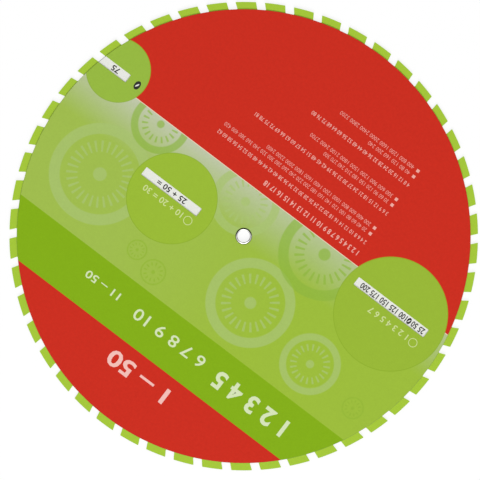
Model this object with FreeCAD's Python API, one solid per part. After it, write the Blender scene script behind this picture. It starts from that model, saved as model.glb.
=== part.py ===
import FreeCAD, Part
import math
import os

# Vocabulary learning wheel: a toothed word disc of printed card turns between two round card
# covers, and one hollow eyelet through the middle holds the three cards together.
# Millimetres. The wheel lies flat with its front face up (+Z). +X is the way the front print
# reads and +Y is the top of the print. The origin is under the eyelet, on the table.

# Covers
cover_radius = 99.25
cover_thickness = 0.45

# Word disc
disc_thickness = 0.45
tooth_height = 3.25
position_count = 50
gap_width = 3.75
gap_root_outside_covers = 0.05
gap_root_corner_radius = 0.3
tooth_corner_radius = 0.25

# Windows in the covers. Each lies along X. A line is the Y of a window's middle.
window_height = 4.1
window_corner_radius = 0.3
question_line = -14.3
question_window_length = 38.4
question_window_from_rim = 8.85
translation_line = 3.65
translation_window_length = 30.4
translation_window_from_centre = 21.7
answer_line = -24.15
answer_slot_length = 14.4
answer_slot_width = 4.0

# Eyelet
eyelet_bore_radius = 2.7
eyelet_wall = 0.3
eyelet_lip_reach = 0.65
front_lip_height = 0.45
front_lip_roll_radius = 0.3
rear_lip_height = 0.4
rear_lip_land_width = 0.4

# Clearances
turning_clearance = 0.05
card_gap = 0.1
rear_lip_play = 0.05

# Helpers for the cutting work
cutter_overrun = 1.0
edge_search_margin = 0.01
steep = 0.5

# Heights of the stack, from the table up
back_cover_base = rear_lip_height + rear_lip_play
disc_base = back_cover_base + cover_thickness + card_gap
front_cover_base = disc_base + disc_thickness + card_gap
front_cover_top = front_cover_base + cover_thickness
eyelet_top = front_cover_top + front_lip_height

# Radii that follow from the sizes above
tip_radius = cover_radius + tooth_height
gap_root_radius = cover_radius + gap_root_outside_covers
barrel_radius = eyelet_bore_radius + eyelet_wall
lip_radius = barrel_radius + eyelet_lip_reach
centre_hole_radius = barrel_radius + turning_clearance

up = FreeCAD.Vector(0, 0, 1)
centre = FreeCAD.Vector(0, 0, 0)


def reach_at(radius, line):
    """Distance from the Y axis to a circle about the centre, along a line of constant Y."""
    return math.sqrt(radius ** 2 - line ** 2)


def stands_upright(edge):
    """Whether an edge runs through the card rather than along its face."""
    return abs(edge.tangentAt(edge.FirstParameter).z) > steep


def distance_out(edge):
    """Distance of an upright edge from the wheel's axis."""
    return math.hypot(edge.CenterOfMass.x, edge.CenterOfMass.y)


def round_card(radius, base, thickness):
    """A round card with the punched hole that the eyelet goes through."""
    card = Part.makeCylinder(radius, thickness, FreeCAD.Vector(0, 0, base))
    hole = Part.makeCylinder(
        centre_hole_radius,
        thickness + 2 * cutter_overrun,
        FreeCAD.Vector(0, 0, base - cutter_overrun),
    )
    return card.cut(hole)


def window_cutter(left, right, line, height, corner_radius, base, thickness):
    """A rounded box that cuts a window through a card, taller than the card both ways."""
    box = Part.makeBox(
        right - left,
        height,
        thickness + 2 * cutter_overrun,
        FreeCAD.Vector(left, line - height / 2, base - cutter_overrun),
    )
    upright_edges = [edge for edge in box.Edges if stands_upright(edge)]
    return box.makeFillet(corner_radius, upright_edges)


def cover(base):
    """A cover card: two windows and one slot that is open at the rim.

    Both covers have the same outline. The rear one lies straight behind the front one, so
    its print reads when the wheel is turned over about the X axis.
    """
    question_left = -reach_at(cover_radius, question_line) + question_window_from_rim
    question_window = window_cutter(
        question_left,
        question_left + question_window_length,
        question_line,
        window_height,
        window_corner_radius,
        base,
        cover_thickness,
    )
    translation_window = window_cutter(
        translation_window_from_centre,
        translation_window_from_centre + translation_window_length,
        translation_line,
        window_height,
        window_corner_radius,
        base,
        cover_thickness,
    )
    rim_at_answer = reach_at(cover_radius, answer_line)
    answer_slot = window_cutter(
        rim_at_answer - answer_slot_length,
        cover_radius + cutter_overrun,
        answer_line,
        answer_slot_width,
        window_corner_radius,
        base,
        cover_thickness,
    )
    card = round_card(cover_radius, base, cover_thickness)
    return card.cut([question_window, translation_window, answer_slot])


def gap_cutter():
    """Cuts one gap between two teeth: a notch with straight sides, in line with the covers'
    answer slot. Its root follows a circle just outside the covers.
    """
    farther_side = abs(answer_line) + gap_width / 2
    start = reach_at(gap_root_radius, farther_side) - cutter_overrun
    box = Part.makeBox(
        tip_radius + cutter_overrun - start,
        gap_width,
        disc_thickness + 2 * cutter_overrun,
        FreeCAD.Vector(start, answer_line - gap_width / 2, disc_base - cutter_overrun),
    )
    core = Part.makeCylinder(
        gap_root_radius,
        disc_thickness + 4 * cutter_overrun,
        FreeCAD.Vector(0, 0, disc_base - 2 * cutter_overrun),
    )
    notch = box.cut(core).Solids[0]
    root_corners = []
    for edge in notch.Edges:
        if stands_upright(edge) and distance_out(edge) < gap_root_radius + edge_search_margin:
            root_corners.append(edge)
    return notch.makeFillet(gap_root_corner_radius, root_corners)


def word_disc():
    """The toothed card. A gap meets the covers' answer slot at each of the positions."""
    first_gap = gap_cutter()
    gaps = []
    for position in range(position_count):
        gap = first_gap.copy()
        gap.rotate(centre, up, position * 360.0 / position_count)
        gaps.append(gap)
    card = round_card(tip_radius, disc_base, disc_thickness).cut(gaps)
    tooth_corners = []
    for edge in card.Edges:
        if stands_upright(edge) and distance_out(edge) > tip_radius - edge_search_margin:
            tooth_corners.append(edge)
    return card.Solids[0].makeFillet(tooth_corner_radius, tooth_corners)


def point(radius, height):
    """A point of the eyelet's section, which stands in the XZ plane."""
    return FreeCAD.Vector(radius, 0, height)


def round_arc(start, end, middle_of_circle):
    """The shorter arc of a circle in the eyelet's section, from start to end."""
    toward_midway = (start - middle_of_circle) + (end - middle_of_circle)
    toward_midway.normalize()
    radius = (start - middle_of_circle).Length
    return Part.Arc(start, middle_of_circle + toward_midway * radius, end).toShape()


def eyelet():
    """Hollow eyelet: a barrel, in front a lip that rolls up out of the bore and slopes down
    to its edge, and behind a rolled lip with a flat to rest on.
    """
    peak = point(eyelet_bore_radius + front_lip_roll_radius, eyelet_top)
    roll_start = point(eyelet_bore_radius, eyelet_top - front_lip_roll_radius)
    front_roll = round_arc(roll_start, peak, point(peak.x, roll_start.z))
    slope_width = lip_radius - peak.x
    slope_radius = (slope_width ** 2 + front_lip_height ** 2) / (2 * front_lip_height)
    front_edge = point(lip_radius, front_cover_top)
    front_slope = round_arc(peak, front_edge, point(peak.x, eyelet_top - slope_radius))

    lip_middle = (eyelet_bore_radius + lip_radius) / 2
    land_inner = lip_middle - rear_lip_land_width / 2
    land_outer = lip_middle + rear_lip_land_width / 2
    rear_roll = lip_radius - land_outer
    inner_roll = round_arc(
        point(land_inner, 0), point(eyelet_bore_radius, rear_roll), point(land_inner, rear_roll)
    )
    outer_roll = round_arc(
        point(lip_radius, rear_roll), point(land_outer, 0), point(land_outer, rear_roll)
    )
    edges = [
        Part.makeLine(point(eyelet_bore_radius, rear_roll), roll_start),
        front_roll,
        front_slope,
        Part.makeLine(front_edge, point(barrel_radius, front_cover_top)),
        Part.makeLine(point(barrel_radius, front_cover_top), point(barrel_radius, rear_lip_height)),
        Part.makeLine(point(barrel_radius, rear_lip_height), point(lip_radius, rear_lip_height)),
        Part.makeLine(point(lip_radius, rear_lip_height), point(lip_radius, rear_roll)),
        outer_roll,
        Part.makeLine(point(land_outer, 0), point(land_inner, 0)),
        inner_roll,
    ]
    section = Part.Face(Part.Wire(Part.__sortEdges__(edges)))
    return section.revolve(centre, up, 360)


pieces = {
    "front_cover": cover(front_cover_base),
    "word_disc": word_disc(),
    "back_cover": cover(back_cover_base),
    "eyelet": eyelet(),
}

os.makedirs("parts", exist_ok=True)
for node, shape in pieces.items():
    shape.exportStep(f"parts/{node}.step")
    box = shape.BoundBox
    print(
        f"{node}: {len(shape.Solids)} solid, {shape.Volume:.1f} mm3, valid {shape.isValid()}, "
        f"z {box.ZMin:.2f} to {box.ZMax:.2f}, width {box.XLength:.2f}"
    )
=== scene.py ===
import math

import bpy
from mathutils import Matrix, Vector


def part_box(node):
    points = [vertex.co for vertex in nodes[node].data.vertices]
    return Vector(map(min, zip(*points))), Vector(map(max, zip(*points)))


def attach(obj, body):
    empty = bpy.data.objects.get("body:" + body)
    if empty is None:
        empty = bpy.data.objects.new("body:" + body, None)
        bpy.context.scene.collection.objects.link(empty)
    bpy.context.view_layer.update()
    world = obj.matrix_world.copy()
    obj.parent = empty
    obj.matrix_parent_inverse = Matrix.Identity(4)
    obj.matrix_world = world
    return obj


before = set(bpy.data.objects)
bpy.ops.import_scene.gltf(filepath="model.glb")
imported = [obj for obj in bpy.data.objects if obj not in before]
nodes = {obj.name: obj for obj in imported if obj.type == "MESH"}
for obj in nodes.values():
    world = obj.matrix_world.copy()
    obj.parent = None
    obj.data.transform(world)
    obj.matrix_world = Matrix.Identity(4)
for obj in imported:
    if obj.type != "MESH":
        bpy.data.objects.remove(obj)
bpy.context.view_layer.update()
bpy.ops.object.select_all(action="DESELECT")
print("frame loaded:", sorted(nodes))

mm = 0.001
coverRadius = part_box("front_cover")[1].y / mm
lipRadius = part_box("eyelet")[1].y / mm

# the back is turned over about X, so its print's Y and Z run the other way
wheelSides = {
    "front": {
        "way": 1,
        "cover": "front_cover",
        "coverFace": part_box("front_cover")[1].z / mm,
        "discFace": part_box("word_disc")[1].z / mm,
        "firstNumber": 1,
    },
    "back": {
        "way": -1,
        "cover": "back_cover",
        "coverFace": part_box("back_cover")[0].z / mm,
        "discFace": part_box("word_disc")[0].z / mm,
        "firstNumber": 51,
    },
}


# Small tools for shader nodes

def ink(red, green, blue):
    # a colour as it looks in print, 0 to 255, made linear for a shader by the sRGB curve
    def linear(level):
        part = level / 255
        return part / 12.92 if part <= 0.04045 else ((part + 0.055) / 1.055) ** 2.4
    return (linear(red), linear(green), linear(blue), 1.0)


def startMaterial(name):
    material = bpy.data.materials.new(name)
    material.use_nodes = True
    tree = material.node_tree
    return material, tree, tree.nodes["Principled BSDF"]


def feed(tree, socket, value):
    if isinstance(value, bpy.types.NodeSocket):
        tree.links.new(value, socket)
    else:
        socket.default_value = value


def maths(tree, operation, *values):
    node = tree.nodes.new("ShaderNodeMath")
    node.operation = operation
    for socket, value in zip(node.inputs, values):
        feed(tree, socket, value)
    return node.outputs[0]


def layer(tree, under, over, amount):
    # a printed layer: over covers under by amount
    node = tree.nodes.new("ShaderNodeMix")
    node.data_type = "RGBA"
    feed(tree, node.inputs[0], amount)
    feed(tree, node.inputs[6], under)        # 6, 7 and output 2 are the node's colour sockets
    feed(tree, node.inputs[7], over)
    return node.outputs[2]


def between(tree, low, high, amount):
    # a number that goes from low to high with amount, where any of them may vary
    node = tree.nodes.new("ShaderNodeMix")
    feed(tree, node.inputs[0], amount)
    feed(tree, node.inputs[2], low)          # 2, 3 and output 0 are its number sockets
    feed(tree, node.inputs[3], high)
    return node.outputs[0]


def rise(tree, value, start, end):
    # 0 at start, 1 at end
    node = tree.nodes.new("ShaderNodeMapRange")
    feed(tree, node.inputs["Value"], value)
    node.inputs["From Min"].default_value = start
    node.inputs["From Max"].default_value = end
    return node.outputs["Result"]


def spread(tree, value, low, high):
    # 0 to 1 laid over low to high
    node = tree.nodes.new("ShaderNodeMapRange")
    feed(tree, node.inputs["Value"], value)
    node.inputs["To Min"].default_value = low
    node.inputs["To Max"].default_value = high
    return node.outputs["Result"]


def offFrom(tree, value, level):
    # how far a value is from a level, either way
    return maths(tree, "ABSOLUTE", maths(tree, "SUBTRACT", value, level))


def toned(tree, colour, amount):
    # a colour made darker or lighter, 1 as it is
    node = tree.nodes.new("ShaderNodeVectorMath")
    node.operation = "SCALE"
    tree.links.new(colour, node.inputs[0])
    tree.links.new(amount, node.inputs["Scale"])
    return node.outputs[0]


def grain(tree, where, scale, detail, stretch=(1, 1, 1)):
    # noise of 0 to 1, finer along an axis where stretch is above 1
    mapping = tree.nodes.new("ShaderNodeMapping")
    mapping.inputs["Scale"].default_value = stretch
    tree.links.new(where, mapping.inputs["Vector"])
    noise = tree.nodes.new("ShaderNodeTexNoise")
    noise.inputs["Scale"].default_value = scale
    noise.inputs["Detail"].default_value = detail
    tree.links.new(mapping.outputs["Vector"], noise.inputs["Vector"])
    return noise.outputs["Fac"]


def bumps(tree, shader, height, strength, depth):
    node = tree.nodes.new("ShaderNodeBump")
    node.inputs["Strength"].default_value = strength
    node.inputs["Distance"].default_value = depth * mm
    tree.links.new(height, node.inputs["Height"])
    tree.links.new(node.outputs["Normal"], shader.inputs["Normal"])


def printPlace(tree, way=1):
    # where a point lies on its print, in millimetres, and how far its face looks up
    mmPerMetre = 1 / mm
    coords = tree.nodes.new("ShaderNodeTexCoord")
    mapping = tree.nodes.new("ShaderNodeMapping")
    mapping.inputs["Scale"].default_value = (mmPerMetre, way * mmPerMetre, 0)
    tree.links.new(coords.outputs["Object"], mapping.inputs["Vector"])
    split = tree.nodes.new("ShaderNodeSeparateXYZ")
    tree.links.new(mapping.outputs["Vector"], split.inputs[0])
    facing = tree.nodes.new("ShaderNodeSeparateXYZ")
    tree.links.new(coords.outputs["Normal"], facing.inputs[0])
    return {
        "spot": mapping.outputs["Vector"],
        "x": split.outputs["X"],
        "y": split.outputs["Y"],
        "up": facing.outputs["Z"],
    }


def reach(tree, place, centre=(0, 0)):
    # how far a point of the print lies from a centre
    node = tree.nodes.new("ShaderNodeVectorMath")
    node.operation = "DISTANCE"
    tree.links.new(place["spot"], node.inputs[0])
    node.inputs[1].default_value = (centre[0], centre[1], 0)
    return node.outputs["Value"]


printEdge = 0.05              # softness of a printed edge, mm
motifEdge = 0.25              # of the pale background motifs
printedFrom = 0.5             # a face is printed where its normal has more of Z than this


def above(tree, value, level, edge=printEdge):
    return rise(tree, value, level - edge, level + edge)


def below(tree, value, level, edge=printEdge):
    return rise(tree, value, level + edge, level - edge)


def roundSpot(tree, place, centre, radius):
    return below(tree, reach(tree, place, centre), radius)


def ringSpot(tree, place, centre, radius, width):
    return below(tree, offFrom(tree, reach(tree, place, centre), radius), width / 2)


# Print of the covers

coverPrint = {
    "capFoot": 68.1,                     # red above this, mm up the print
    "bandFoot": 44.5,
    "panelFoot": -19.6,
    "red": ink(208, 41, 21),
    "redDeep": ink(194, 35, 15),         # where the red ink lies thicker
    "band": ink(129, 172, 5),
    "panel": ink(154, 186, 54),
    "panelRight": ink(158, 187, 74),     # the panel's right-hand side is a little paler
    "rightFrom": -30.0,
    "rightTo": 45.0,
    "panelEnd": ink(178, 194, 143),      # the panel's foot is paler still
    "panelEndRight": ink(192, 199, 172),
    "fadeStart": 3.0,
    "fadeCurve": 1.3,
    "circleLine": ink(134, 168, 34),
    "circleLineWidth": 0.35,
    "circleLineStrength": 0.7,
    "hairline": ink(232, 214, 186),
    "hairlineWidth": 0.3,
    "motifStrength": 0.75,
    "board": ink(226, 225, 218),
    "core": ink(214, 210, 198),
    "mottle": (0.965, 1.02),             # how unevenly the ink lies
    "speckle": (-0.05, 0.05),
    "varnish": (0.34, 0.5),              # roughness of the printed face
    "bareRoughness": 0.85,
    "gloss": 0.13,
    "fibreRelief": 0.4,                  # how much of the bump the board's fibres make
    "bumpStrength": 0.25,
    "bumpDepth": 0.02,                   # mm
    "redGrain": (0.8, 4),                # scale and detail
    "mottleGrain": (0.35, 4),
    "speckleGrain": (1.1, 3),
    "fibreGrain": (1.1, 5, (1, 4, 1)),
    "varnishGrain": (0.6, 4),
}

readingCircles = [
    {"centre": (-71.8, -11.8), "radius": 25.0, "tone": ink(150, 182, 49)},
    {"centre": (35.0, 5.9), "radius": 19.9, "tone": ink(152, 185, 49)},
    {"centre": (87.6, -24.6), "radius": 14.1, "tone": ink(149, 184, 61)},
]

paleMotif = ink(167, 193, 110)
darkMotif = ink(141, 180, 58)
lineMotif = ink(143, 179, 48)

# plain dials as a background: a ring with short marks inside it, and a spot in the middle
panelDials = [
    {"centre": (-57.0, 27.0), "radius": 12.0, "width": 3.0, "marks": 20, "tone": paleMotif},
    {"centre": (-20.0, 21.5), "radius": 17.5, "width": 4.4, "marks": 24, "tone": paleMotif},
    {"centre": (-33.0, -15.0), "radius": 18.0, "width": 4.6, "marks": 24, "tone": darkMotif},
    {"centre": (8.5, -12.5), "radius": 13.5, "width": 3.6, "marks": 20, "tone": paleMotif},
    {"centre": (66.5, 16.5), "radius": 20.0, "width": 4.8, "marks": 28, "tone": paleMotif},
    {"centre": (58.5, -17.0), "radius": 11.5, "width": 3.2, "marks": 18, "tone": darkMotif},
    {"centre": (22.0, 36.5), "radius": 5.4, "width": 0.6, "marks": 12, "tone": lineMotif},
    {"centre": (33.5, 33.0), "radius": 4.2, "width": 0.6, "marks": 12, "tone": lineMotif},
    {"centre": (-83.5, 31.0), "radius": 4.6, "width": 0.6, "marks": 12, "tone": lineMotif},
]
dialShares = {
    "markFrom": 0.56,         # ends of the marks and size of the spot, over the clear radius
    "markTo": 0.84,
    "spot": 0.17,
    "markWidth": 0.34,        # share of the way round that the marks take
    "markEdge": 0.04,
}


def dialSpot(tree, place, dial):
    # where the ring, its marks and its spot lie
    shares = dialShares
    clear = dial["radius"] - dial["width"] / 2
    distance = reach(tree, place, dial["centre"])
    ring = below(tree, offFrom(tree, distance, dial["radius"]), dial["width"] / 2, motifEdge)
    spot = below(tree, distance, clear * shares["spot"], motifEdge)
    markStart = above(tree, distance, clear * shares["markFrom"], motifEdge)
    markEnd = below(tree, distance, clear * shares["markTo"], motifEdge)
    band = maths(tree, "MULTIPLY", markStart, markEnd)
    away = tree.nodes.new("ShaderNodeVectorMath")
    away.operation = "SUBTRACT"
    tree.links.new(place["spot"], away.inputs[0])
    away.inputs[1].default_value = (dial["centre"][0], dial["centre"][1], 0)
    split = tree.nodes.new("ShaderNodeSeparateXYZ")
    tree.links.new(away.outputs[0], split.inputs[0])
    turn = maths(tree, "ARCTAN2", split.outputs["Y"], split.outputs["X"])
    step = maths(tree, "FRACT", maths(tree, "MULTIPLY", turn, dial["marks"] / math.tau))
    # a mark stands in the middle of each step round the dial
    mark = below(tree, offFrom(tree, step, 0.5), shares["markWidth"] / 2, shares["markEdge"])
    marks = maths(tree, "MULTIPLY", band, mark)
    return maths(tree, "MAXIMUM", maths(tree, "MAXIMUM", ring, spot), marks)


def coverMaterial(name, way):
    material, tree, shader = startMaterial(name)
    plan = coverPrint
    place = printPlace(tree, way)
    rightward = rise(tree, place["x"], plan["rightFrom"], plan["rightTo"])
    colour = layer(tree, plan["panel"], plan["panelRight"], rightward)
    foot = layer(tree, plan["panelEnd"], plan["panelEndRight"], rightward)
    fading = rise(tree, place["y"], plan["fadeStart"], plan["panelFoot"])
    colour = layer(tree, colour, foot, maths(tree, "POWER", fading, plan["fadeCurve"]))
    for dial in panelDials:
        mark = maths(tree, "MULTIPLY", dialSpot(tree, place, dial), plan["motifStrength"])
        colour = layer(tree, colour, dial["tone"], mark)
    colour = layer(tree, colour, plan["band"], above(tree, place["y"], plan["bandFoot"]))
    redPatches = grain(tree, place["spot"], *plan["redGrain"])
    red = layer(tree, plan["red"], plan["redDeep"], redPatches)
    colour = layer(tree, colour, red, above(tree, place["y"], plan["capFoot"]))
    colour = layer(tree, colour, red, below(tree, place["y"], plan["panelFoot"]))
    offFoot = offFrom(tree, place["y"], plan["panelFoot"])
    colour = layer(tree, colour, plan["hairline"], below(tree, offFoot, plan["hairlineWidth"] / 2))
    for circle in readingCircles:
        # the rear windows lie straight behind the front ones
        centre = (circle["centre"][0], way * circle["centre"][1])
        radius = circle["radius"]
        colour = layer(tree, colour, circle["tone"], roundSpot(tree, place, centre, radius))
        line = ringSpot(tree, place, centre, radius, plan["circleLineWidth"])
        line = maths(tree, "MULTIPLY", line, plan["circleLineStrength"])
        colour = layer(tree, colour, plan["circleLine"], line)

    # the ink lies a little unevenly on the board's fibres
    mottle = grain(tree, place["spot"], *plan["mottleGrain"])
    speckle = grain(tree, place["spot"], *plan["speckleGrain"])
    shade = spread(tree, mottle, *plan["mottle"])
    shade = maths(tree, "ADD", shade, spread(tree, speckle, *plan["speckle"]))
    colour = toned(tree, colour, shade)

    # bare board inside, and the cut edge
    printed = above(tree, maths(tree, "MULTIPLY", place["up"], way), printedFrom)
    fibre = grain(tree, place["spot"], *plan["fibreGrain"])
    bare = layer(tree, plan["core"], plan["board"], fibre)
    tree.links.new(layer(tree, bare, colour, printed), shader.inputs["Base Color"])

    varnish = spread(tree, grain(tree, place["spot"], *plan["varnishGrain"]), *plan["varnish"])
    roughness = between(tree, plan["bareRoughness"], varnish, printed)
    tree.links.new(roughness, shader.inputs["Roughness"])
    shader.inputs["Specular IOR Level"].default_value = plan["gloss"]
    relief = maths(tree, "ADD", mottle, maths(tree, "MULTIPLY", fibre, plan["fibreRelief"]))
    bumps(tree, shader, relief, plan["bumpStrength"], plan["bumpDepth"])
    return material


# Print of the word disc: green teeth, white lists

discPrint = {
    "shadowLineFrom": coverRadius - 0.14,      # a painted shadow line at the teeth's root, under the cover's rim and across the slot
    "greenFrom": coverRadius + 0.04,
    # colour of the painted shadow line
    "line": ink(88, 92, 100),
    "green": ink(162, 197, 48),
    "white": ink(232, 234, 228),
    "core": ink(216, 213, 202),
    "fibreShare": 0.25,                  # how far the board's fibres show in the white
    "mottle": (0.96, 1.02),
    "roughness": (0.42, 0.6),
    "gloss": 0.2,
    "bumpStrength": 0.25,
    "bumpDepth": 0.02,                   # mm
    "fibreGrain": (0.9, 5, (1, 3, 1)),   # scale, detail and stretch
    "mottleGrain": (0.3, 4),
}


def discMaterial():
    material, tree, shader = startMaterial("printedDiscCard")
    plan = discPrint
    place = printPlace(tree)
    fibre = grain(tree, place["spot"], *plan["fibreGrain"])
    mottle = grain(tree, place["spot"], *plan["mottleGrain"])
    showing = maths(tree, "MULTIPLY", fibre, plan["fibreShare"])
    white = layer(tree, plan["white"], plan["core"], showing)
    distance = reach(tree, place)
    # painted shadow: a grey ring where the cover's rim shades the teeth and the slot
    colour = layer(tree, white, plan["line"], above(tree, distance, plan["shadowLineFrom"]))
    colour = layer(tree, colour, plan["green"], above(tree, distance, plan["greenFrom"]))
    colour = toned(tree, colour, spread(tree, mottle, *plan["mottle"]))
    printed = above(tree, maths(tree, "ABSOLUTE", place["up"]), printedFrom)
    tree.links.new(layer(tree, plan["core"], colour, printed), shader.inputs["Base Color"])
    tree.links.new(spread(tree, mottle, *plan["roughness"]), shader.inputs["Roughness"])
    shader.inputs["Specular IOR Level"].default_value = plan["gloss"]
    bumps(tree, shader, fibre, plan["bumpStrength"], plan["bumpDepth"])
    return material


eyeletFinish = {
    "dull": ink(186, 186, 181),
    "bright": ink(222, 221, 217),
    "paintedShade": ink(48, 47, 40),            # painted shade, where the lip meets the card
    "paintedShadeWidth": 0.5,                   # mm in from the lip's edge
    "paintedShadeStrength": 0.9,
    "roughness": (0.12, 0.28),
    "bumpStrength": 0.15,
    "bumpDepth": 0.01,                   # mm
    "scuffGrain": (900, 5, (1, 1, 3)),   # scale per metre, detail and stretch
    "cloudGrain": (260, 3),
}


def eyeletMaterial():
    material, tree, shader = startMaterial("nickelPlate")
    plan = eyeletFinish
    place = printPlace(tree)
    coords = tree.nodes.new("ShaderNodeTexCoord")
    scuffs = grain(tree, coords.outputs["Object"], *plan["scuffGrain"])
    cloud = grain(tree, coords.outputs["Object"], *plan["cloudGrain"])
    plate = layer(tree, plan["dull"], plan["bright"], cloud)
    # painted shade: the plate darkens towards the lip's edge, where it meets the card
    shadedEdge = rise(tree, reach(tree, place), lipRadius - plan["paintedShadeWidth"], lipRadius)
    shadedEdge = maths(tree, "MULTIPLY", shadedEdge, plan["paintedShadeStrength"])
    tree.links.new(layer(tree, plate, plan["paintedShade"], shadedEdge), shader.inputs["Base Color"])
    shader.inputs["Metallic"].default_value = 1.0
    tree.links.new(spread(tree, scuffs, *plan["roughness"]), shader.inputs["Roughness"])
    bumps(tree, shader, scuffs, plan["bumpStrength"], plan["bumpDepth"])
    return material


inkFinish = {
    "paler": 1.12,            # in patches, where the ink lies thinner
    "roughness": (0.4, 0.6),
    "gloss": 0.2,
    "patchGrain": (900, 3),   # scale per metre and detail
}


def inkMaterial(name, colour):
    # a solid ink with a trace of the board's grain in it
    material, tree, shader = startMaterial(name)
    plan = inkFinish
    coords = tree.nodes.new("ShaderNodeTexCoord")
    patches = grain(tree, coords.outputs["Object"], *plan["patchGrain"])
    paler = tuple(min(1.0, part * plan["paler"]) for part in colour[:3]) + (1.0,)
    tree.links.new(layer(tree, colour, paler, patches), shader.inputs["Base Color"])
    tree.links.new(spread(tree, patches, *plan["roughness"]), shader.inputs["Roughness"])
    shader.inputs["Specular IOR Level"].default_value = plan["gloss"]
    return material


def dress(item, material):
    item.data.materials.clear()
    item.data.materials.append(material)


dress(nodes["front_cover"], coverMaterial("printedFrontCard", wheelSides["front"]["way"]))
dress(nodes["back_cover"], coverMaterial("printedBackCard", wheelSides["back"]["way"]))
dress(nodes["word_disc"], discMaterial())
dress(nodes["eyelet"], eyeletMaterial())
print("cards and eyelet finished")


# Printed numbers and marks: thin ink shapes that lie on a face

inkFilm = {
    "thickness": 0.02,
    "sunk": 0.005,            # how far the ink goes into the card
    "lift": 0.01,             # an ink on top of another ink
    "capShare": 0.69,         # height of a figure over its type size
    "figureWidth": 0.5,       # widths over the type size
    "spaceWidth": 0.278,
    "curveSteps": 3,          # steps in each curve of a figure
    "mergeWithin": 0.0008,    # mm
}


def lineWidth(words, height):
    # about how wide a line of figures comes out
    film = inkFilm
    spaces = words.count(" ")
    shares = spaces * film["spaceWidth"] + (len(words) - spaces) * film["figureWidth"]
    return shares * height / film["capShare"]


def layInk(item, side, face, x, y, turn=0.0, lift=0.0):
    # takes a flat shape from the origin to its place on a print, and applies it to the mesh
    film = inkFilm
    height = side["way"] * face - film["sunk"] + film["thickness"] / 2 + lift
    shift = Matrix.Translation((x * mm, y * mm, height * mm))
    place = Matrix.Rotation(math.radians(turn), 4, "Z") @ shift
    if side["way"] < 0:
        place = Matrix.Rotation(math.pi, 4, "X") @ place
    bpy.ops.object.select_all(action="DESELECT")
    item.select_set(True)
    bpy.context.view_layer.objects.active = item
    item.matrix_world = place
    bpy.ops.object.transform_apply(location=True, rotation=True, scale=True)


def setFigures(words, height, align="LEFT", weight=0.0, squeeze=1.0, width=None):
    # a line of figures as a thin mesh, its middle height at the origin
    # weight moves the outlines out, mm; a width, where one is given, sets the squeeze
    bpy.ops.object.select_all(action="DESELECT")
    bpy.ops.object.text_add(location=(0, 0, 0))
    line = bpy.context.object
    line.data.body = words
    line.data.size = height / inkFilm["capShare"] * mm
    line.data.extrude = inkFilm["thickness"] / 2 * mm
    line.data.offset = weight * mm
    line.data.resolution_u = inkFilm["curveSteps"]
    bpy.ops.object.convert(target="MESH")
    line = bpy.context.object
    bpy.ops.object.origin_set(type="ORIGIN_GEOMETRY", center="BOUNDS")
    if width:
        squeeze = width * mm / line.dimensions.x
    line.scale = (squeeze, 1, 1)
    middle = line.dimensions.x * squeeze / 2 if align == "LEFT" else 0
    line.location = (middle, 0, 0)
    bpy.ops.object.transform_apply(location=True, rotation=True, scale=True)
    return line


def thicken(item):
    # turns a flat shape into an ink film, in edit mode
    bpy.ops.mesh.select_all(action="SELECT")
    upward = {"value": (0, 0, inkFilm["thickness"] * mm)}
    bpy.ops.mesh.extrude_region_move(TRANSFORM_OT_translate=upward)
    bpy.ops.mesh.select_all(action="SELECT")
    bpy.ops.mesh.normals_make_consistent(inside=False)
    bpy.ops.object.mode_set(mode="OBJECT")
    item.location = (0, 0, -inkFilm["thickness"] / 2 * mm)


markShape = {
    "ringSides": 40,
    "ovalSides": 24,
    "sliverShare": 0.5,       # height of a sliver over that of its oval
    "sliverTall": 3.2,        # height over width
    "sliverTurn": -28,        # degrees
}


def makeRing(outer, width):
    sides = markShape["ringSides"]
    bpy.ops.object.select_all(action="DESELECT")
    bpy.ops.mesh.primitive_circle_add(vertices=sides, radius=outer * mm, fill_type="NGON")
    ring = bpy.context.object
    bpy.ops.object.mode_set(mode="EDIT")
    bpy.ops.mesh.select_all(action="SELECT")
    bpy.ops.mesh.inset(thickness=width * mm)
    bpy.ops.mesh.delete(type="FACE")
    thicken(ring)
    bpy.ops.object.transform_apply(location=True, rotation=True, scale=True)
    return ring


def makeOval(halfHeight, tall):
    # tall is the height over the width
    sides = markShape["ovalSides"]
    bpy.ops.object.select_all(action="DESELECT")
    bpy.ops.mesh.primitive_circle_add(vertices=sides, radius=halfHeight * mm, fill_type="NGON")
    oval = bpy.context.object
    bpy.ops.object.mode_set(mode="EDIT")
    thicken(oval)
    oval.scale = (1 / tall, 1, 1)
    bpy.ops.object.transform_apply(location=True, rotation=True, scale=True)
    return oval


def makeSliver(ovalHalfHeight):
    # the slim slanted spot inside an oval
    shape = markShape
    sliver = makeOval(ovalHalfHeight * shape["sliverShare"], shape["sliverTall"])
    sliver.rotation_euler = (0, 0, math.radians(shape["sliverTurn"]))
    bpy.ops.object.transform_apply(location=True, rotation=True, scale=True)
    return sliver


def joinAs(name, items, material, body):
    # makes one finished piece of the shapes
    bpy.ops.object.select_all(action="DESELECT")
    for item in items:
        item.select_set(True)
    bpy.context.view_layer.objects.active = items[0]
    if len(items) > 1:
        bpy.ops.object.join()
    piece = bpy.context.view_layer.objects.active
    piece.name = name
    bpy.ops.object.mode_set(mode="EDIT")
    bpy.ops.mesh.select_all(action="SELECT")
    bpy.ops.mesh.remove_doubles(threshold=inkFilm["mergeWithin"] * mm)
    bpy.ops.mesh.normals_make_consistent(inside=False)
    bpy.ops.object.mode_set(mode="OBJECT")
    dress(piece, material)
    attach(piece, body)
    print(name, "has", len(piece.data.polygons), "faces")
    return piece


def countingLine(step, term, room, height, squeeze):
    # numbers in even steps, from one term on, as many as the room holds
    words = str(step * term)
    while True:
        term += 1
        longer = f"{words} {step * term}"
        if lineWidth(longer, height) * squeeze >= room:
            return words
        words = longer


# Numbers on the word disc
# each row counts up in even steps with its third number left out: the sum of the first two
# asks for it, and the rim gives it

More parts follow.
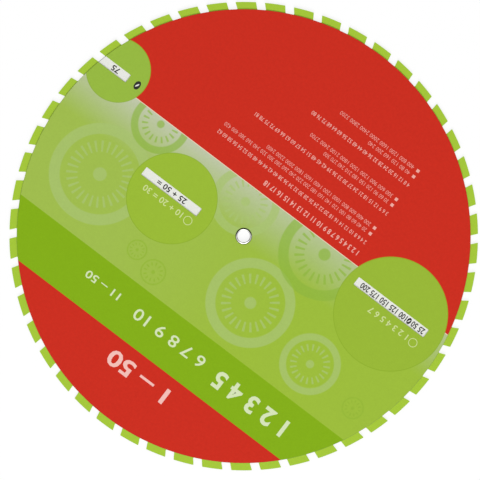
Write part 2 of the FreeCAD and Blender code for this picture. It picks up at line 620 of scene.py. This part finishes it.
discRows = {
    "positions": 50,
    "firstAtRest": 25,        # which of the positions shows at rest
    "termAfterOval": 4,       # the row goes on with this many steps
    "row": {
        "left": -88.2,
        "line": -14.25,
        "height": 2.55,
        "squeeze": 0.8,
        "weight": 0.08,
        "longest": 37.0,      # from the left end, so that the row stays inside the window
    },
    "oval": {"halfHeight": 1.5, "tall": 1.55, "gap": 0.45},
    "sum": {"middle": 36.8, "line": 3.6, "height": 2.45, "squeeze": 1.1, "weight": 0.07},
    "answer": {"middle": 88.8, "line": -24.2, "height": 2.45, "squeeze": 1.15, "weight": 0.07},
}


def discNumbers(sideName):
    plan = discRows
    row = plan["row"]
    oval = plan["oval"]
    ovalWidth = 2 * oval["halfHeight"] / oval["tall"]
    side = wheelSides[sideName]
    blackShapes = []
    paleShapes = []

    def lay(item, x, line, turn, lift=0.0):
        layInk(item, side, side["discFace"], x, side["way"] * line, turn, lift)

    def setRow(words):
        return setFigures(words, row["height"], "LEFT", row["weight"], row["squeeze"])

    for position in range(plan["positions"]):
        step = side["firstNumber"] + (position + plan["firstAtRest"] - 1) % plan["positions"]
        turn = position * 360 / plan["positions"]
        words = f"{step} {2 * step}"
        lead = setRow(words)
        leadEnd = row["left"] + lineWidth(words, row["height"]) * row["squeeze"]
        lay(lead, row["left"], row["line"], turn)
        ovalMiddle = leadEnd + oval["gap"] + ovalWidth / 2
        spot = makeOval(oval["halfHeight"], oval["tall"])
        lay(spot, ovalMiddle, row["line"], turn)
        sliver = makeSliver(oval["halfHeight"])
        lay(sliver, ovalMiddle, row["line"], turn, inkFilm["lift"])
        restStart = ovalMiddle + ovalWidth / 2 + oval["gap"]
        room = row["left"] + row["longest"] - restStart
        words = countingLine(step, plan["termAfterOval"], room, row["height"], row["squeeze"])
        rest = setRow(words)
        lay(rest, restStart, row["line"], turn)
        blackShapes += [lead, spot, rest]
        paleShapes.append(sliver)
        for key, words in (("sum", f"{step} + {2 * step} ="), ("answer", str(3 * step))):
            line = plan[key]
            shape = setFigures(words, line["height"], "CENTER", line["weight"], line["squeeze"])
            lay(shape, line["middle"], line["line"], turn)
            blackShapes.append(shape)
    joinAs(f"disc_{sideName}_numbers", blackShapes, blackInk, "word_disc")
    joinAs(f"disc_{sideName}_oval_slivers", paleShapes, whiteInk, "word_disc")


blackInk = inkMaterial("blackInk", ink(34, 33, 31))
whiteInk = inkMaterial("whiteInk", ink(226, 227, 220))
discNumbers("front")
discNumbers("back")


# Numbers on the covers

# heights and widths are those of the printed figures, mm
coverTitles = {
    "cap": {"height": 6.9, "x": -0.2, "y": 76.8, "width": 31.3, "weight": 0.24},
    "bandLarge": {"height": 7.5, "x": -65.7, "y": 56.6, "width": 38.4, "weight": 0.33},
    "bandMiddle": {"height": 5.2, "x": -20.0, "y": 55.2, "width": 37.8, "weight": 0.06},
    "bandSmall": {"height": 3.4, "x": 27.1, "y": 54.3, "width": 18.0, "weight": 0.07},
}

paleOnRed = inkMaterial("paleInkOnRed", ink(234, 184, 176))
paleOnGreen = inkMaterial("paleInkOnGreen", ink(206, 219, 176))


def coverNumbers(sideName, inLarge, inMiddle):
    # inLarge and inMiddle are how many numbers the band's larger and middle lines hold
    side = wheelSides[sideName]
    face = side["coverFace"]
    titles = coverTitles
    cap = titles["cap"]
    first = side["firstNumber"]
    last = first + discRows["positions"] - 1
    words = f"{first} – {last}"
    line = setFigures(words, cap["height"], "CENTER", cap["weight"], width=cap["width"])
    layInk(line, side, face, cap["x"], cap["y"])
    joinAs(sideName + "_cap_numbers", [line], paleOnRed, side["cover"])

    bandLines = [
        ("bandLarge", " ".join(str(first + step) for step in range(inLarge))),
        ("bandMiddle", " ".join(str(first + inLarge + step) for step in range(inMiddle))),
        ("bandSmall", f"{first + inLarge + inMiddle} – {last}"),
    ]
    items = []
    for key, words in bandLines:
        title = titles[key]
        line = setFigures(words, title["height"], "LEFT", title["weight"], width=title["width"])
        layInk(line, side, face, title["x"], title["y"])
        items.append(line)
    joinAs(sideName + "_band_numbers", items, paleOnGreen, side["cover"])


coverNumbers("front", inLarge=5, inMiddle=5)
coverNumbers("back", inLarge=3, inMiddle=4)       # fewer, with two figures in each number


noteBlock = {
    "left": -44.3,
    "indent": -41.1,
    "headLine": -24.25,
    "headHeight": 2.3,
    "headWidth": 51.4,
    "squeeze": 0.82,
    "headWeight": 0.06,
    "boldWeight": 0.01,
    "weight": -0.03,
    "paragraphTops": (-30.0, -45.75, -61.35),
    "bulletDrops": (4.4, 7.5),           # below the paragraph's first line
    "bulletFactors": (10, 100),          # how much faster the bullets' lines count
    "height": 1.8,
    # each paragraph's first line and its two bullets' lines
    "widths": ((81.3, 77.6, 56.8), (72.7, 35.1, 44.8), (53.4, 22.5, 40.2)),
    "bullet": 1.4,
    "bulletBevel": 0.004,
    "bulletMiddle": -43.4,
    "firstStep": 2,                      # the first paragraph counts in twos, the next in threes
}
noteInk = inkMaterial("paleNoteInk", ink(230, 164, 153))


def makeBullet(size):
    # a small square spot of ink
    bpy.ops.object.select_all(action="DESELECT")
    bpy.ops.mesh.primitive_cube_add(size=size * mm)
    bullet = bpy.context.object
    bullet.scale = (1, 1, inkFilm["thickness"] / size)
    bpy.ops.object.transform_apply(scale=True)
    bpy.ops.object.mode_set(mode="EDIT")
    bpy.ops.mesh.select_all(action="SELECT")
    bpy.ops.mesh.bevel(offset=noteBlock["bulletBevel"] * mm, segments=1)
    bpy.ops.object.mode_set(mode="OBJECT")
    return bullet


def coverNotes(sideName):
    side = wheelSides[sideName]
    plan = noteBlock
    items = []

    def lay(item, x, y):
        layInk(item, side, side["coverFace"], x, y)
        items.append(item)

    def layCounting(step, height, weight, width, x, y):
        words = countingLine(step, 1, width, height, plan["squeeze"])
        lay(setFigures(words, height, "LEFT", weight, width=width), x, y)

    layCounting(
        1, plan["headHeight"], plan["headWeight"], plan["headWidth"], plan["left"], plan["headLine"]
    )
    for paragraph, top in enumerate(plan["paragraphTops"]):
        step = paragraph + plan["firstStep"]
        opening, *bullets = plan["widths"][paragraph]
        layCounting(step, plan["height"], plan["boldWeight"], opening, plan["left"], top)
        for drop, width, factor in zip(plan["bulletDrops"], bullets, plan["bulletFactors"]):
            y = top - drop
            layCounting(step * factor, plan["height"], plan["weight"], width, plan["indent"], y)
            lay(makeBullet(plan["bullet"]), plan["bulletMiddle"], y)
    joinAs(sideName + "_note_numbers", items, noteInk, side["cover"])


coverNotes("front")
coverNotes("back")


windowMarks = {
    "ringRadius": 2.03,
    "ringWidth": 0.32,
    "captions": [
        {"ring": (-87.1, -7.7), "words": "1 2 3 4 5 6 7"},
        {"ring": (23.6, 9.4), "words": "10 + 20 = 30"},
    ],
    "captionStart": 3.35,     # from the middle of the ring
    "captionDrop": 0.25,
    "captionWidth": 21.0,
    "captionHeight": 2.7,
    "captionWeight": 0.05,
    "answerOval": {"place": (77.0, -24.3), "halfHeight": 2.05, "tall": 1.5},
}


def coverMarks(sideName):
    side = wheelSides[sideName]
    face = side["coverFace"]
    cover = side["cover"]
    way = side["way"]
    plan = windowMarks
    items = []
    for caption in plan["captions"]:
        x, y = caption["ring"]
        ring = makeRing(plan["ringRadius"], plan["ringWidth"])
        layInk(ring, side, face, x, way * y)
        height = plan["captionHeight"]
        weight = plan["captionWeight"]
        words = setFigures(caption["words"], height, "LEFT", weight, width=plan["captionWidth"])
        wordsMiddle = way * y - plan["captionDrop"]
        layInk(words, side, face, x + plan["captionStart"], wordsMiddle)
        items += [ring, words]
    joinAs(sideName + "_window_captions", items, captionInk, cover)

    mark = plan["answerOval"]
    x, y = mark["place"]
    oval = makeOval(mark["halfHeight"], mark["tall"])
    layInk(oval, side, face, x, way * y)
    joinAs(sideName + "_answer_oval", [oval], blackInk, cover)
    sliver = makeSliver(mark["halfHeight"])
    layInk(sliver, side, face, x, way * y, lift=inkFilm["lift"])
    joinAs(sideName + "_answer_sliver", [sliver], whiteInk, cover)


captionInk = inkMaterial("paleCaptionInk", ink(198, 212, 142))
coverMarks("front")
coverMarks("back")
print("numbers and marks printed")


# Floor, light and camera

floorPlan = {
    "size": 3.0,
    "white": (1.0, 1.0, 1.0, 1.0),
    "roughness": 0.9,
    "gloss": 0.0,
    "glow": 0.85,             # how far the floor goes to plain white where it is seen
}


def inSight(tree, rays):
    # 1 where something is seen, straight on or in a mirror, rather than lit by
    seen = maths(tree, "MAXIMUM", rays.outputs["Is Camera Ray"], rays.outputs["Is Glossy Ray"])
    return maths(tree, "MAXIMUM", seen, rays.outputs["Is Transmission Ray"])


def makeFloor():
    bpy.ops.object.select_all(action="DESELECT")
    bpy.ops.mesh.primitive_plane_add(size=floorPlan["size"], location=(0, 0, 0))
    floor = bpy.context.object
    floor.name = "paleFloor"
    material, tree, shader = startMaterial("paleFloor")
    shader.inputs["Base Color"].default_value = floorPlan["white"]
    shader.inputs["Roughness"].default_value = floorPlan["roughness"]
    shader.inputs["Specular IOR Level"].default_value = floorPlan["gloss"]
    rays = tree.nodes.new("ShaderNodeLightPath")
    plainWhite = tree.nodes.new("ShaderNodeEmission")
    plainWhite.inputs["Color"].default_value = floorPlan["white"]
    blend = tree.nodes.new("ShaderNodeMixShader")
    feed(tree, blend.inputs[0], maths(tree, "MULTIPLY", inSight(tree, rays), floorPlan["glow"]))
    tree.links.new(shader.outputs[0], blend.inputs[1])
    tree.links.new(plainWhite.outputs[0], blend.inputs[2])
    tree.links.new(blend.outputs[0], tree.nodes["Material Output"].inputs["Surface"])
    dress(floor, material)


lightPlan = {
    "roomColour": (1.0, 1.0, 1.0, 1.0),
    "roomStrength": 0.55,
    "backdrop": 1.0,                     # plain white, where it is seen
    "darkWall": (0.64, -0.77, 0.0),      # away from the lamp, for the metal to mirror
    "darkFrom": 0.0,                     # how far towards that wall the room starts to darken
    "darkTo": 0.18,
    "darkShare": 0.03,                   # what is left of the room's light there
    "keyFrom": (-1.26, 1.67, 3.0),       # metres; beyond the print's upper left
    "keySize": 2.4,
    "keyWatts": 86.0,
}


def makeRoom():
    plan = lightPlan
    world = bpy.data.worlds.new("softRoom")
    bpy.context.scene.world = world
    world.use_nodes = True
    tree = world.node_tree
    background = tree.nodes["Background"]
    background.inputs["Color"].default_value = plan["roomColour"]
    rays = tree.nodes.new("ShaderNodeLightPath")
    strength = spread(tree, inSight(tree, rays), plan["roomStrength"], plan["backdrop"])
    coords = tree.nodes.new("ShaderNodeTexCoord")
    toward = tree.nodes.new("ShaderNodeVectorMath")
    toward.operation = "DOT_PRODUCT"
    tree.links.new(coords.outputs["Generated"], toward.inputs[0])
    toward.inputs[1].default_value = plan["darkWall"]
    dark = rise(tree, toward.outputs["Value"], plan["darkFrom"], plan["darkTo"])
    dark = maths(tree, "MULTIPLY", dark, rays.outputs["Is Glossy Ray"])
    strength = maths(tree, "MULTIPLY", strength, spread(tree, dark, 1.0, plan["darkShare"]))
    tree.links.new(strength, background.inputs["Strength"])


def makeLamp():
    bpy.ops.object.light_add(type="AREA", location=lightPlan["keyFrom"])
    key = bpy.context.object
    key.data.energy = lightPlan["keyWatts"]
    key.data.size = lightPlan["keySize"]
    direction = -key.location
    key.rotation_euler = direction.to_track_quat("-Z", "Y").to_euler()


cameraPlan = {
    "imagePixels": 480,
    "wheelCentre": (243.7, 236.15),      # where the photo has it, px from its upper left
    "mmPerPixel": 0.43748,
    "roll": -142.73,                     # the print lies turned in the photo
    "height": 0.6,                       # metres above the table
}


def makeCamera():
    # looks straight down, at the place on the table that lies in the middle of the photo
    plan = cameraPlan
    middle = plan["imagePixels"] / 2
    roll = math.radians(plan["roll"])
    across = (plan["wheelCentre"][0] - middle) * plan["mmPerPixel"] * mm
    upward = (middle - plan["wheelCentre"][1]) * plan["mmPerPixel"] * mm
    x = -(across * math.cos(roll) - upward * math.sin(roll))
    y = -(across * math.sin(roll) + upward * math.cos(roll))
    bpy.ops.object.camera_add(location=(x, y, plan["height"]), rotation=(0, 0, roll))
    camera = bpy.context.object
    camera.data.type = "ORTHO"
    camera.data.ortho_scale = plan["imagePixels"] * plan["mmPerPixel"] * mm
    camera.data.dof.use_dof = False
    bpy.context.scene.camera = camera


makeFloor()
makeRoom()
makeLamp()
makeCamera()
bpy.context.scene.view_settings.view_transform = "Standard"
print("floor, lights and camera placed")
